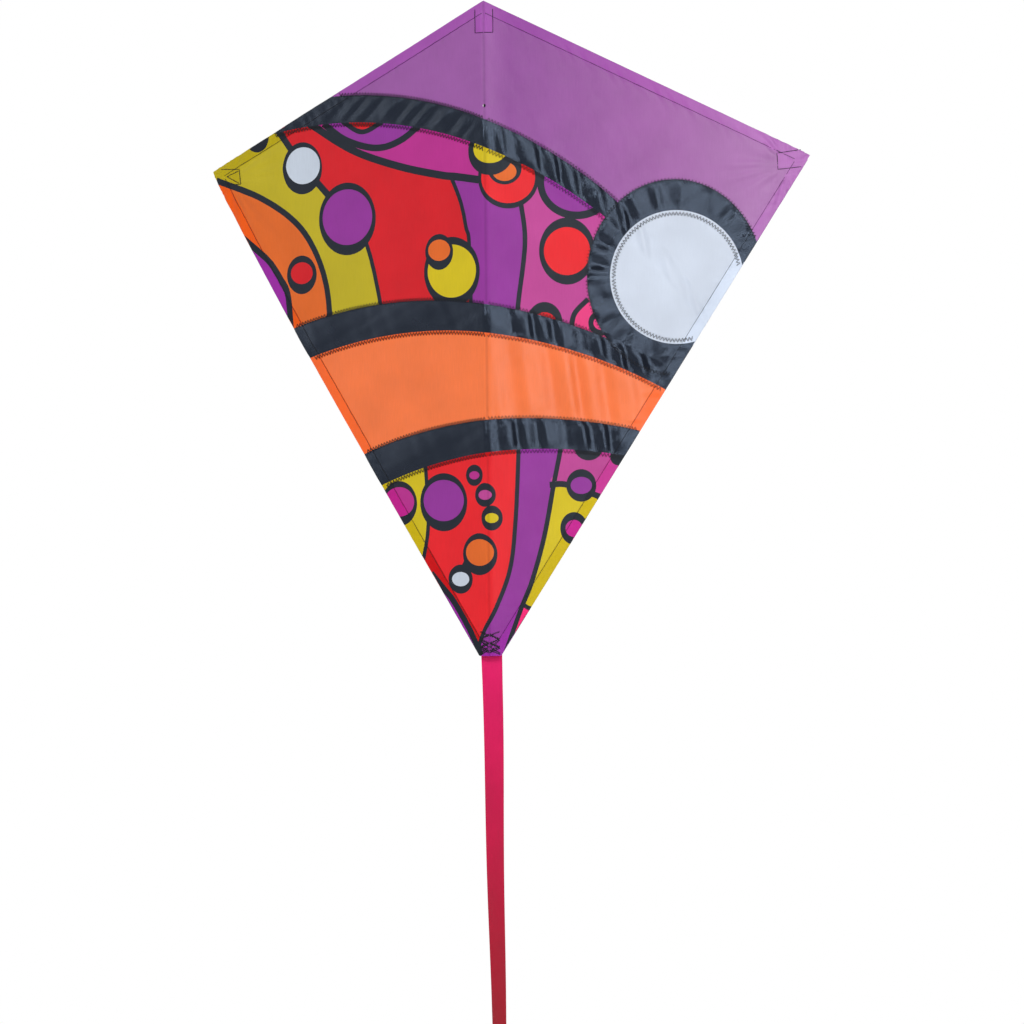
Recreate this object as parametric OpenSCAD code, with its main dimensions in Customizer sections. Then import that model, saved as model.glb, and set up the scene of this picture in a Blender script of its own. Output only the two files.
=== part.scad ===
// Diamond kite: a pieced cloth sail on a spine rod and two wing spars,
// with a ribbon tail. +Z runs up the spine, -Y is the front of the sail,
// and the origin is the centre of the tow hole, in the sail's crease.

/* [Sail] */
// Height from the nose to the bottom edge
sail_h = 762; // [740:1:780]
// Length of cloth from the crease to a wing tip
half_span = 381; // [370:1:390]
// Drop from the nose to the wing tips
tip_drop = 181; // [175:1:186]
// Drop from the nose to the tow hole
tow_drop = 121.5; // [118:0.5:124]
// Half width of the cut across the bottom
foot_half = 13; // [12:0.5:14]
// Angle that each wing is swept back from flat
dihedral = 17; // [14:0.5:20]
// Thickness of the cloth
cloth_t = 0.5; // [0.3:0.1:0.6]
// Width of the folded hems
hem_w = 13; // [10:0.5:14]
// Radius of the tow hole
tow_r = 2; // [1.5:0.1:2.5]

/* [Bands and disc] */
// Half width and half height of the dark ring on the right wing
ring_half = [103, 114]; // [95:1:106]
// Radius of the white disc inside the ring
disc_r = 78; // [70:1:82]
// Distance of the ring from the crease, and its height
ring_at = [221, -201]; // [-220:1:230]

/* [Frame] */
// Diameter of the spine rod
spine_d = 5; // [4.6:0.1:5.2]
// Diameter of the wing spars
spar_d = 4; // [3.6:0.1:4.2]
// Outer radius of the connector's barrel on the spine
barrel_r = 5.4; // [5:0.1:5.6]
// Height of the connector's barrel
barrel_h = 22; // [18:1:26]
// Outer radius of the connector's two arms
arm_r = 3.7; // [3.5:0.1:3.8]
// Length of each arm, from the spine's axis
arm_l = 46; // [40:1:60]
// Drop from the wing tips to the spars
spar_drop = 3; // [2:0.5:3]

/* [Tail] */
// Width of the ribbon
ribbon_w = 25; // [22:1:25]
// Length of ribbon that hangs free below the sail
ribbon_l = 445; // [420:5:600]
// Thickness of the ribbon
ribbon_t = 0.5; // [0.3:0.1:0.6]

/* [Hidden] */
$fn = 96;

LEFT = -1;
RIGHT = 1;

// Heights, measured from the tow hole
nose_z = tow_drop;
tip_z = tow_drop - tip_drop;
foot_z = tow_drop - sail_h;
spar_z = tip_z - spar_drop;

// The back face of the sail is this far in front of the spine's axis
sail_off = 6.4;
// The spine's axis, about which the wings flex, behind the middle of the cloth
spine_y = sail_off + cloth_t / 2;
// Cloth that each wing gives up to the crease's curve
wrap = spine_y * dihedral * PI / 180;
// Half width of the stretch of sail that stays with the spine
crease_half = 6.5;
// The wings' cloth starts this far from the crease
wing_start = 9;

// Rods, their vinyl end caps and the gaps around them
spine_r = spine_d / 2;
spar_r = spar_d / 2;
spine_cap_r = spine_r + 0.8;
spar_cap_r = spar_r + 0.8;
cap_l = 14;
cap_end = 1.5;
spine_top = nose_z - 9;
spine_foot = foot_z + 5;
spar_end = half_span - wrap - 14;
arm_socket = barrel_r + 3;
slip = 0.1;

// Pockets: a cloth tunnel with two margins sewn to the sail
pocket_t = 0.6;
nose_pocket_l = 32;
tail_pocket_l = 28;
tip_pocket_l = 28;
tip_margin = 8;
// A tip pocket closes this far from the wing's hinge, just past the capped spar
pocket_end = spar_end + 3;

// The ribbon lies on the tail pocket where it is sewn, and hangs free below a small gap
seam_y = spine_y + spine_cap_r + slip + pocket_t;
seam_gap = 1;

// The seams between the panels are arcs: [centre from the crease, height, radius]
seam_upper_top = [-194, -495, 517];
seam_upper_low = [-200, -549, 539];
seam_centre_top = [-90, -804, 580];
seam_centre_low = [-69, -831, 571];
seam_lower_top = [42, -957, 593];
seam_lower_low = [62, -955, 555];

// Places a child drawn about the Z axis on the spine's axis
module on_spine(z = 0) {
  translate([0, spine_y, z])
    children();
}

// Places a child drawn in a flat wing on the swept-back wing.
// A wing's own frame has X along the spar, Y to the back and Z up.
module wing(side) {
  on_spine()
    mirror([side == LEFT ? 1 : 0, 0, 0])
      rotate([0, 0, dihedral])
        children();
}

// Turns a drawing in sail coordinates, crease at 0, into cloth on one wing
module cloth(side, from = sail_off, t = cloth_t) {
  wing(side)
    translate([-wrap, -from, 0])
      rotate([90, 0, 0])
        linear_extrude(t)
          mirror([side == LEFT ? 1 : 0, 0])
            intersection() {
              half_sail(side);
              children();
            }
}

// One half of the sail, laid flat, without the strip along the crease
module half_sail(side) {
  polygon([
    [side * wing_start, nose_z - wing_start * tip_drop / half_span],
    [side * half_span, tip_z],
    [side * foot_half, foot_z],
    [side * wing_start, foot_z]
  ]);
}

// Everything below one of the arc seams
module below(seam) {
  translate([seam[0], seam[1]])
    circle(r = seam[2], $fn = 360);
}

module between(upper, lower) {
  difference() {
    below(upper);
    below(lower);
  }
}

// The outline of the ring, a tall ellipse
module ring_outline() {
  translate(ring_at)
    polygon([for (a = [0 : 5 : 355]) [ring_half[0] * cos(a), ring_half[1] * sin(a)]]);
}

// A strip of the hem's width along the edge from a to b, on its inner side
module edge_strip(a, b, side) {
  along = (b - a) / norm(b - a);
  inward = side * [along[1], -along[0]];
  past = 20 * along;
  outer = -inward;
  inner = hem_w * inward;
  polygon([a - past + outer, b + past + outer, b + past + inner, a - past + inner]);
}

module leading_strip(side) {
  edge_strip([0, nose_z], [side * half_span, tip_z], side);
}

module trailing_strip(side) {
  difference() {
    edge_strip([side * half_span, tip_z], [side * foot_half, foot_z], side);
    leading_strip(side);
  }
}

// A rod along +Z, from z = 0
module rod(r, l) {
  cylinder(r = r, h = l);
}

// A closed cap that fits over a rod's end. The rod comes in from -Z.
module rod_cap(rod_r, cap_r) {
  difference() {
    cylinder(r = cap_r, h = cap_l);
    translate([0, 0, -1])
      cylinder(r = rod_r, h = cap_l - cap_end + 1);
  }
}

// The tunnel of a pocket in section: X across, Y to the back, sail at -Y
module tunnel_section(hole_r, back, margin) {
  wall = hole_r + pocket_t;
  difference() {
    union() {
      circle(r = wall);
      translate([-wall, -back])
        square([2 * wall, back]);
      translate([-margin, -back])
        square([2 * margin, pocket_t]);
    }
    circle(r = hole_r);
    translate([-hole_r, -back - 1])
      square([2 * hole_r, back + 1]);
  }
}

// A pocket of length l along +Z, closed by an end wall at the top
module pocket(hole_r, back, margin, l) {
  linear_extrude(l)
    tunnel_section(hole_r, back, margin);
  translate([-hole_r, -back, l - pocket_t])
    cube([2 * hole_r, back, pocket_t]);
  translate([0, 0, l - pocket_t])
    cylinder(r = hole_r, h = pocket_t);
}

// Spine and the pieces that stay with it

module spine_rod() {
  color("#23252b")
    on_spine(spine_foot)
      rod(spine_r, spine_top - spine_foot);
}

module spine_nose_cap() {
  color("#101114")
    on_spine(spine_top - cap_l + cap_end)
      rod_cap(spine_r, spine_cap_r);
}

module spine_tail_cap() {
  color("#101114")
    on_spine(spine_foot + cap_l - cap_end)
      mirror([0, 0, 1])
        rod_cap(spine_r, spine_cap_r);
}

module connector_barrel() {
  color("#1b1c20")
    on_spine(spar_z - barrel_h / 2)
      difference() {
        cylinder(r = barrel_r, h = barrel_h);
        translate([0, 0, -1])
          cylinder(r = spine_r, h = barrel_h + 2);
      }
}

module sail_crease() {
  shoulder = nose_z - crease_half * tip_drop / half_span;
  color("#9b559f")
    translate([0, cloth_t / 2, 0])
      rotate([90, 0, 0])
        difference() {
          linear_extrude(cloth_t)
            polygon([
              [0, nose_z], [crease_half, shoulder], [crease_half, foot_z],
              [-crease_half, foot_z], [-crease_half, shoulder]
            ]);
          translate([0, 0, -1])
            cylinder(r = tow_r, h = cloth_t + 2);
        }
}

module nose_pocket() {
  top = nose_z - 5;
  color("#8d4a93")
    on_spine(top - nose_pocket_l)
      pocket(spine_cap_r + slip, sail_off, crease_half - 0.2, nose_pocket_l);
}

module tail_pocket() {
  color("#b79a2c")
    on_spine(foot_z + tail_pocket_l)
      mirror([0, 0, 1])
        pocket(spine_cap_r + slip, sail_off, crease_half - 0.2, tail_pocket_l);
}

// The ribbon's top end, sewn down behind the tail pocket
module tail_seam() {
  color("#d61f68")
    translate([-ribbon_w / 2, seam_y, foot_z])
      cube([ribbon_w, ribbon_t, tail_pocket_l - 2]);
}

// The ribbon that hangs free, from just below the sail's bottom edge
module tail_ribbon() {
  color("#e61e6e")
    translate([-ribbon_w / 2, seam_y, foot_z - seam_gap - ribbon_l])
      cube([ribbon_w, ribbon_t, ribbon_l]);
}

// Pieces that each wing has

module spar(side) {
  color("#23252b")
    wing(side)
      translate([arm_socket, 0, spar_z])
        rotate([0, 90, 0])
          rod(spar_r, spar_end - arm_socket);
}

module spar_cap(side) {
  color("#101114")
    wing(side)
      translate([spar_end - cap_l + cap_end, 0, spar_z])
        rotate([0, 90, 0])
          rod_cap(spar_r, spar_cap_r);
}

// An arm of the connector: its inner end is hollowed to turn round the barrel
module connector_arm(side) {
  color("#1b1c20")
    wing(side)
      difference() {
        translate([0, 0, spar_z])
          rotate([0, 90, 0])
            rod(arm_r, arm_l);
        translate([arm_socket, 0, spar_z])
          rotate([0, 90, 0])
            rod(spar_r, arm_l);
        translate([0, 0, spar_z - barrel_h / 2])
          cylinder(r = barrel_r + slip, h = barrel_h);
      }
}

// The tip pocket's margins lie on the hems
module tip_pocket(side) {
  color(side == LEFT ? "#c3b432" : "#a86aae")
    wing(side)
      translate([pocket_end - tip_pocket_l, 0, spar_z])
        rotate([0, 90, 0])
          pocket(spar_cap_r + slip, sail_off - cloth_t, tip_margin, tip_pocket_l);
}

module top_panel(side) {
  color("#9b559f")
    cloth(side)
      difference() {
        half_sail(side);
        below(seam_upper_top);
        if (side == RIGHT) ring_outline();
      }
}

module upper_band(side) {
  color("#23283a")
    cloth(side)
      difference() {
        between(seam_upper_top, seam_upper_low);
        if (side == RIGHT) ring_outline();
      }
}

module middle_panel(side) {
  color("#d7232d")
    cloth(side)
      difference() {
        between(seam_upper_low, seam_centre_top);
        if (side == RIGHT) ring_outline();
      }
}

module centre_band(side) {
  color("#23283a")
    cloth(side)
      difference() {
        between(seam_centre_top, seam_centre_low);
        if (side == RIGHT) ring_outline();
      }
}

module orange_band(side) {
  color("#f57d4b")
    cloth(side)
      difference() {
        between(seam_centre_low, seam_lower_top);
        if (side == RIGHT) ring_outline();
      }
}

module lower_band(side) {
  color("#23283a")
    cloth(side)
      between(seam_lower_top, seam_lower_low);
}

module lower_panel(side) {
  color("#d7c828")
    cloth(side)
      below(seam_lower_low);
}

module right_ring() {
  color("#23283a")
    cloth(RIGHT)
      difference() {
        ring_outline();
        translate(ring_at)
          circle(r = disc_r);
      }
}

module right_disc() {
  color("#d7def0")
    cloth(RIGHT)
      translate(ring_at)
        circle(r = disc_r);
}

module leading_hem(side) {
  color("#8d4a93")
    cloth(side, from = sail_off - cloth_t)
      leading_strip(side);
}

module trailing_hem(side) {
  color("#c33")
    cloth(side, from = sail_off - cloth_t)
      trailing_strip(side);
}

spine_rod();
spine_nose_cap();
spine_tail_cap();
connector_barrel();
sail_crease();
nose_pocket();
tail_pocket();
tail_seam();
tail_ribbon();
spar(LEFT);  // left_spar
spar_cap(LEFT);  // left_spar_cap
connector_arm(LEFT);  // left_connector_arm
tip_pocket(LEFT);  // left_tip_pocket
top_panel(LEFT);  // left_top_panel
upper_band(LEFT);  // left_upper_band
middle_panel(LEFT);  // left_middle_panel
centre_band(LEFT);  // left_centre_band
orange_band(LEFT);  // left_orange_band
lower_band(LEFT);  // left_lower_band
lower_panel(LEFT);  // left_lower_panel
leading_hem(LEFT);  // left_leading_hem
trailing_hem(LEFT);  // left_trailing_hem
spar(RIGHT);  // right_spar
spar_cap(RIGHT);  // right_spar_cap
connector_arm(RIGHT);  // right_connector_arm
tip_pocket(RIGHT);  // right_tip_pocket
top_panel(RIGHT);  // right_top_panel
upper_band(RIGHT);  // right_upper_band
middle_panel(RIGHT);  // right_middle_panel
centre_band(RIGHT);  // right_centre_band
orange_band(RIGHT);  // right_orange_band
lower_band(RIGHT);  // right_lower_band
lower_panel(RIGHT);  // right_lower_panel
right_ring();
right_disc();
leading_hem(RIGHT);  // right_leading_hem
trailing_hem(RIGHT);  // right_trailing_hem
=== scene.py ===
"""Looks of the diamond kite: pieced cloth sail, hems, stitching, pockets, ribbon and materials.

The sail is drawn flat, in millimetres: s from the crease (left is negative) and z from the tow
hole. It is cut into panels there, then lifted onto the swept-back wings of the CAD frame.
"""

import math

import bpy
import numpy as np
from mathutils import Matrix, Vector
from mathutils.geometry import delaunay_2d_cdt
from mathutils.kdtree import KDTree


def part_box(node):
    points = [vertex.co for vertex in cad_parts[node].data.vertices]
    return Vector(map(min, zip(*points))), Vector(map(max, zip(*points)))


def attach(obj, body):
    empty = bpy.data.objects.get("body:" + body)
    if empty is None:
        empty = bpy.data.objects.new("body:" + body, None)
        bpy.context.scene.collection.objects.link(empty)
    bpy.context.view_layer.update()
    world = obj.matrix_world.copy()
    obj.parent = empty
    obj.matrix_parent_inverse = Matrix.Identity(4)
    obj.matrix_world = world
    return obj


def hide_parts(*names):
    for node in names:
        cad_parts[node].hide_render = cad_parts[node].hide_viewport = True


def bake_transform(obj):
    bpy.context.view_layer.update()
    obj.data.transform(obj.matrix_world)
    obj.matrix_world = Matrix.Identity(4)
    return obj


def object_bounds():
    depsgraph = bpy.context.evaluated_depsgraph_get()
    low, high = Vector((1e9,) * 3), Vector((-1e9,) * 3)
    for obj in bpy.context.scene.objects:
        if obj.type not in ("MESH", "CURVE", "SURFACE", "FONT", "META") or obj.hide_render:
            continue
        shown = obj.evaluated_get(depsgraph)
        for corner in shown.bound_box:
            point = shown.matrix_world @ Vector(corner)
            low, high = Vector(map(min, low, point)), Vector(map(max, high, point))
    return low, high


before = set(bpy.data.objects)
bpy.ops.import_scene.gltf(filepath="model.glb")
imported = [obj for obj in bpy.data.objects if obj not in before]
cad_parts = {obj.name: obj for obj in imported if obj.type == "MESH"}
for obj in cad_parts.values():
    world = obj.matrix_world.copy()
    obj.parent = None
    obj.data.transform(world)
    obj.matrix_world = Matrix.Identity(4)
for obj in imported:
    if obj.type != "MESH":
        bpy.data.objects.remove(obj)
cad_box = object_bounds()

MM = 0.001
LEFT, RIGHT = -1, 1
SIDE_NAME = {LEFT: "left", RIGHT: "right"}

# ---- Sizes, in millimetres, from the frame ----

crease_low, crease_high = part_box("sail_crease")
nose_z = crease_high.z / MM
foot_z = crease_low.z / MM
barrel_low, barrel_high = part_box("connector_barrel")
spine_y = (barrel_low.y + barrel_high.y) / 2 / MM
spar_z = (barrel_low.z + barrel_high.z) / 2 / MM
seam_low, seam_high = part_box("tail_seam")
ribbon_low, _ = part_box("tail_ribbon")

# The wings' sweep and the sail's outline, measured on the cloth. The left trailing edge bows outwards.
dihedral = math.radians(17)
half_span = 381
tip_z = spar_z + 3
foot_half = 13
left_bow = 6
tow_r = 2
# The cloth that wraps round the spine, and the laps behind the seams
wrap = spine_y * dihedral
lap = 4.5
# A hem: its depth, the cloth in its roll, and how far in from the edge its colour is read
hem_w, hem_roll, hem_middle = 13, 2, 6

hem_gap = 0.75

cloth_t, pocket_t, ribbon_t = 0.24, 0.35, 0.4
thread_r, seam_thread_r = 0.32, 0.5
stitch_length = 3.0

# The pockets: half the width, where the open ends lie, the lengths and how far the cloth stands out
pocket_half = 9
nose_pocket_z, nose_pocket_l = 84.5, 32
foot_pocket_l = 27.5
tip_pocket_s, tip_pocket_l = 342, 28
spine_pocket_h, tip_pocket_h = spine_y + 3.6, spine_y + 3.0
# The stitched patch in front of the nose pocket: half its width, and its lower edge
patch_half, patch_z = 11, 85

# Spacing of the meshes' points
grid_step, band_step, hem_step, edge_step = 3.4, 2.3, 3.0, 2.0

# The panels' seams are arcs: (centre from the crease, height, radius)
SEAMS = {
    "upper_top": (-194, -495, 517),
    "upper_low": (-200, -549, 539),
    "centre_top": (-90, -804, 580),
    "centre_low": (-69, -831, 571),
    "lower_top": (42, -957, 593),
    "lower_low": (62, -955, 555),
}
BANDS = (("upper_top", "upper_low"), ("centre_top", "centre_low"), ("lower_top", "lower_low"))
RING_AT, RING_HALF = (221, -201), (103, 114)
DISC_AT, DISC_R = (223, -201), 78

# Panels with their material slots. The first seven run from the top down, with a seam between each
# two, in the order of SEAMS. The ring and the disc are let in over them.
PANELS = {
    "top_panel": "purple_cloth",
    "upper_band": "satin_band",
    "middle_panel": "printed_cloth",
    "centre_band": "satin_band",
    "orange_band": "orange_cloth",
    "lower_band": "satin_band",
    "lower_panel": "printed_cloth",
    "ring": "satin_band",
    "disc": "white_cloth",
}
NAMES = list(PANELS)
RING, DISC = NAMES.index("ring"), NAMES.index("disc")
SATIN = [i for i, slot in enumerate(PANELS.values()) if slot == "satin_band"]

# ---- Colours, sRGB. Cloths of one colour have their slot's name ----

DYES = {
    "purple": (150, 84, 158),
    "satin_band": (14, 16, 26),
    "orange_cloth": (246, 120, 64),
    "white_cloth": (206, 215, 230),
    "spot_white": (198, 208, 222),
    "black": (34, 40, 50),
    "red": (212, 30, 40),
    "bright_red": (232, 36, 44),
    "orange": (225, 106, 42),
    "olive": (191, 174, 38),
    "yellow": (210, 188, 30),
    "violet": (146, 54, 152),
    "magenta": (184, 49, 141),
    "pink": (188, 70, 147),
    "hot_pink": (232, 62, 130),
    "ribbon": (230, 22, 104),
    # Painted shade at the ribbon's lower end, where it turns away from the light
    "ribbon_painted_shade": (168, 6, 30),
}
# The purple cloth with painted light: a painted shade streak about 30 mm right of the crease and a
# painted sheen that lightens it towards the right tip: (millimetres from the crease, colour)
PURPLE_WITH_PAINTED_SHEEN = [
    (-300, (150, 84, 158)),
    (0, (152, 86, 160)),
    (30, (139, 68, 148)),
    (200, (155, 88, 160)),
    (330, (170, 115, 174)),
]


def linear(rgb):
    """sRGB 0 to 255 as scene-linear values."""
    c = np.asarray(rgb, float) / 255
    return np.where(c <= 0.04045, c / 12.92, ((c + 0.055) / 1.055) ** 2.4)


def two_layer_colour_and_painted_shade(rgb):
    """The deeper, more saturated colour where a folded hem or a lap doubles the cloth: partly the two
    layers' own colour, partly painted shade for the light that shines less through them.
    """
    c = np.asarray(rgb, float)
    top = c.max(axis=-1, keepdims=True)
    green, blue = c[..., 1:2], c[..., 2:3]
    red, olive = (green < 60) & (blue < 60), (green > 150) & (blue < 100)
    return np.clip((top + (c - top) * 1.18) * np.select([red, olive], [0.88, 0.97], 1.06), 0, 255)


# ---- Flat drawing ----


def smooth_step(x, low, high):
    t = np.clip((x - low) / (high - low), 0, 1)
    return t * t * (3 - 2 * t)


def curve(points, step=3.0):
    """A smooth line through a few points, as points about step apart."""
    p = np.array(points, float)
    if len(p) == 2:
        count = max(2, int(np.linalg.norm(p[1] - p[0]) / step) + 1)
        return p[0] + np.linspace(0, 1, count)[:, None] * (p[1] - p[0])
    p = np.vstack([2 * p[0] - p[1], p, 2 * p[-1] - p[-2]])
    out = []
    for a, b, c, d in zip(p[:-3], p[1:-2], p[2:-1], p[3:]):
        count = max(2, int(np.linalg.norm(c - b) / step))
        t = np.linspace(0, 1, count, endpoint=False)[:, None]
        bend = (2 * a - 5 * b + 4 * c - d) * t ** 2 + (3 * b - a - 3 * c + d) * t ** 3
        out.append(b + 0.5 * ((c - a) * t + bend))
    return np.vstack(out + [p[-2]])


def ellipse(at, half, step=3.0):
    count = max(16, int(2 * math.pi * max(half) / step))
    a = np.linspace(0, 2 * math.pi, count, endpoint=False)
    return np.column_stack([at[0] + half[0] * np.cos(a), at[1] + half[1] * np.sin(a)])


def unit(vectors):
    return vectors / np.maximum(np.linalg.norm(vectors, axis=1, keepdims=True), 1e-12)


def normals_of(points):
    """Unit vectors to the left of a line's direction, in its plane."""
    along = unit(np.gradient(points, axis=0))
    return np.column_stack([-along[:, 1], along[:, 0]])


def respaced(points, step):
    """The same line with its points exactly step apart."""
    run = np.concatenate([[0], np.cumsum(np.linalg.norm(np.diff(points, axis=0), axis=1))])
    at = np.arange(0, run[-1], step)
    return np.column_stack([np.interp(at, run, points[:, i]) for i in (0, 1)])


def inside(polygon, points):
    """Which points lie inside a closed polygon."""
    low, high = polygon.min(0), polygon.max(0)
    near = np.all((points >= low) & (points <= high), axis=1)
    hit = np.zeros(len(points), bool)
    x, y = points[near, 0][:, None], points[near, 1][:, None]
    a, b = polygon, np.roll(polygon, -1, axis=0)
    crosses = (a[:, 1] > y) != (b[:, 1] > y)
    rise = np.where(np.abs(b[:, 1] - a[:, 1]) < 1e-12, 1e-12, b[:, 1] - a[:, 1])
    at = (b[:, 0] - a[:, 0]) * (y - a[:, 1]) / rise + a[:, 0]
    hit[near] = (crosses & (x < at)).sum(axis=1) % 2 == 1
    return hit


# ---- The sail's outline and panels ----


def trailing_edge(side, step=edge_step):
    """The edge from a wing tip to the foot. The left one is cut with a slight outward bow."""
    tip, foot = np.array([side * half_span, tip_z]), np.array([side * foot_half, foot_z])
    count = int(np.linalg.norm(foot - tip) / step)
    t = np.linspace(0, 1, count)[:, None]
    outward = np.array([side * (tip[1] - foot[1]), -abs(tip[0] - foot[0])])
    outward /= np.linalg.norm(outward)
    bulge = (left_bow if side == LEFT else 0) * np.sin(math.pi * t ** 0.65)
    return tip + (foot - tip) * t + bulge * outward


def leading_edge(side, step=edge_step):
    return curve([(0, nose_z), (side * half_span, tip_z)], step)


def outline():
    """The sail's whole edge as a closed polygon, with points 4 mm apart."""
    right, left = (np.vstack([leading_edge(side, 4.0)[:-1], trailing_edge(side, 4.0)])
                   for side in (RIGHT, LEFT))
    return np.vstack([right, left[::-1][:-1]])


def nearest(line, points):
    """For each point, the index of the line's nearest point and the distance to it."""
    tree = KDTree(len(line))
    for i, p in enumerate(line):
        tree.insert((p[0], p[1], 0), i)
    tree.balance()
    found = [tree.find((p[0], p[1], 0)) for p in points]
    return np.array([f[1] for f in found], int), np.array([f[2] for f in found])


def distance_in(edge, points):
    """How far points lie from an edge line."""
    near = np.clip(nearest(edge, points)[0], 1, len(edge) - 2)
    along = unit(edge[near + 1] - edge[near - 1])
    away = points - edge[near]
    across = away[:, 0] * along[:, 1] - away[:, 1] * along[:, 0]
    beyond = np.maximum(np.abs((away * along).sum(axis=1)) - 4, 0)
    return np.hypot(across, beyond)


def edge_distances(points):
    """Distance from each point to its wing's leading edge and to its trailing edge."""
    lead, trail = np.zeros(len(points)), np.zeros(len(points))
    for side in (LEFT, RIGHT):
        own = (points[:, 0] > 0) == (side == RIGHT)
        lead[own] = distance_in(leading_edge(side), points[own])
        trail[own] = distance_in(trailing_edge(side), points[own])
    return lead, trail


def depth_in(seam, points):
    """How far points lie below a seam arc; negative above it."""
    cx, cz, r = SEAMS[seam]
    return r - np.hypot(points[:, 0] - cx, points[:, 1] - cz)


def ring_level(points):
    """1 on the ring's outer edge, less inside it."""
    return np.hypot(*((points - RING_AT) / RING_HALF).T)


def disc_distance(points):
    return np.hypot(*(points - DISC_AT).T)


def panel_of(points):
    """The index in PANELS of the panel that each point lies in."""
    found = np.zeros(len(points), int)
    for i, seam in enumerate(SEAMS):
        found[depth_in(seam, points) > 0] = i + 1
    found[ring_level(points) < 1] = RING
    found[disc_distance(points) < DISC_R] = DISC
    return found


def seam_line(seam, step=3.0):
    """The upper half of a seam's arc."""
    cx, cz, r = SEAMS[seam]
    a = np.arange(0.05 * math.pi, 0.95 * math.pi, step / r)
    return np.column_stack([cx + r * np.cos(a), cz + r * np.sin(a)])


def moved_in(seam, line, shift):
    """A seam's line moved towards its arc's centre."""
    cx, cz, r = SEAMS[seam]
    return line + (np.array([cx, cz]) - line) * shift / r


def lap_line(seam):
    """The hidden inner edge of the panel that is lapped behind a band's lower edge."""
    line = moved_in(seam, seam_line(seam), lap)
    return runs(line, ring_level(line) > 1.03)[0]


# ---- The print: shapes in painting order, each (colour, closed polygon), drawn ----

# A distance past every edge of the sail
FAR = 600


def field(colour, points):
    """Everything to the right of a line that runs from top to bottom."""
    line = curve(points)
    return [(colour, np.vstack([line, [FAR, line[-1, 1]], [FAR, line[0, 1]]]))]


def filled(colour, points, closing):
    """The area between a smooth line and the straight lines through the closing points."""
    return [(colour, np.vstack([curve(points), closing]))]


def stroke(width, points):
    """A black line of even width."""
    line = curve(points)
    away = normals_of(line) * width / 2
    return [("black", np.vstack([line + away, (line - away)[::-1]]))]


def spot(colour, at, half, ring, ring_at=None):
    """A coloured spot in a black ring. half and ring are (half width, half height)."""
    return [("black", ellipse(ring_at or at, ring)), (colour, ellipse(at, half))]


def sheet_of(colour):
    """The ground colour of a whole panel."""
    return [(colour, np.array([(-FAR, -FAR * 2), (FAR, -FAR * 2), (FAR, FAR), (-FAR, FAR)]))]


def middle_print():
    olive_red = [(-318, 18), (-286, -16), (-252, -58), (-190, -122), (-163, -156), (-145, -226),
                 (-142, -262)]
    red_violet = [(-47, -78), (-33, -111), (-26, -141), (-22, -160), (-20, -245)]
    violet_pink = [(34, -70), (42, -116), (46, -161), (38, -226), (34, -262)]
    outer_arc = [(-376, -70), (-313, -94), (-265, -124), (-237, -159), (-220, -204), (-214, -262)]
    edge_arc = [(-340, -140), (-318, -157), (-301, -171), (-286, -191), (-275, -212), (-270, -262)]
    crown = [(-243, -8), (-182, -43), (-118, -65), (-61, -78), (-39, -81), (-8, -86)]
    lens = [(-222, -10), (-190, -31), (-149, -42), (-115, -35), (-82, -14)]
    inner_lens = [(-196, -8), (-168, -22), (-136, -10)]
    tiny_arc = [(99, -262), (103, -243), (119, -226)]
    return [
        *sheet_of("olive"),
        *field("red", olive_red),
        *field("violet", red_violet),
        *field("pink", violet_pink),
        *filled("magenta", crown, [(0, 40), (-243, 40)]),
        *filled("violet", lens, [(-82, 40), (-222, 40)]),
        *filled("red", inner_lens, [(-136, 40), (-196, 40)]),
        *stroke(6, inner_lens),
        *stroke(8, lens),
        *stroke(9, crown),
        *stroke(8.5, olive_red[:4]),
        *stroke(5.5, olive_red),
        *stroke(5, red_violet),
        *stroke(5.5, violet_pink),
        *filled("orange", outer_arc, [(-FAR, -262), (-FAR, -70)]),
        *stroke(7.5, outer_arc),
        *filled("violet", edge_arc, [(-FAR, -262), (-FAR, -140)]),
        *stroke(8, edge_arc),
        ("black", ellipse((-317, -20), (17, 19))),
        *spot("spot_white", (-252, -58), (24, 22), (28, 31), (-253, -61)),
        *spot("violet", (-190, -122), (35, 33), (40, 43), (-190, -124)),
        *spot("red", (-255, -186), (15.5, 13), (21, 23), (-255, -188)),
        *spot("yellow", (-46, -191), (33, 31), (38, 41), (-46, -192)),
        *spot("orange", (-63, -166), (15, 12.5), (19, 21), (-63, -168)),
        *spot("violet", (107, -90), (38, 34), (46, 43)),
        *spot("bright_red", (27, -84), (31.6, 29.8), (36, 36)),
        *spot("orange", (23, -77), (14, 11), (20, 19), (23, -73)),
        *spot("yellow", (6, -50), (21, 17), (28, 28), (6, -53)),
        *spot("bright_red", (95, -170), (27, 28), (32.6, 39)),
        *spot("red", (68, -254), (14, 13), (21, 25)),
        *filled("hot_pink", tiny_arc, [(150, -226), (150, -275), (99, -275)]),
        *stroke(6, tiny_arc),
        *spot("hot_pink", (134, -254), (9, 8), (15, 15)),
    ]


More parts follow.
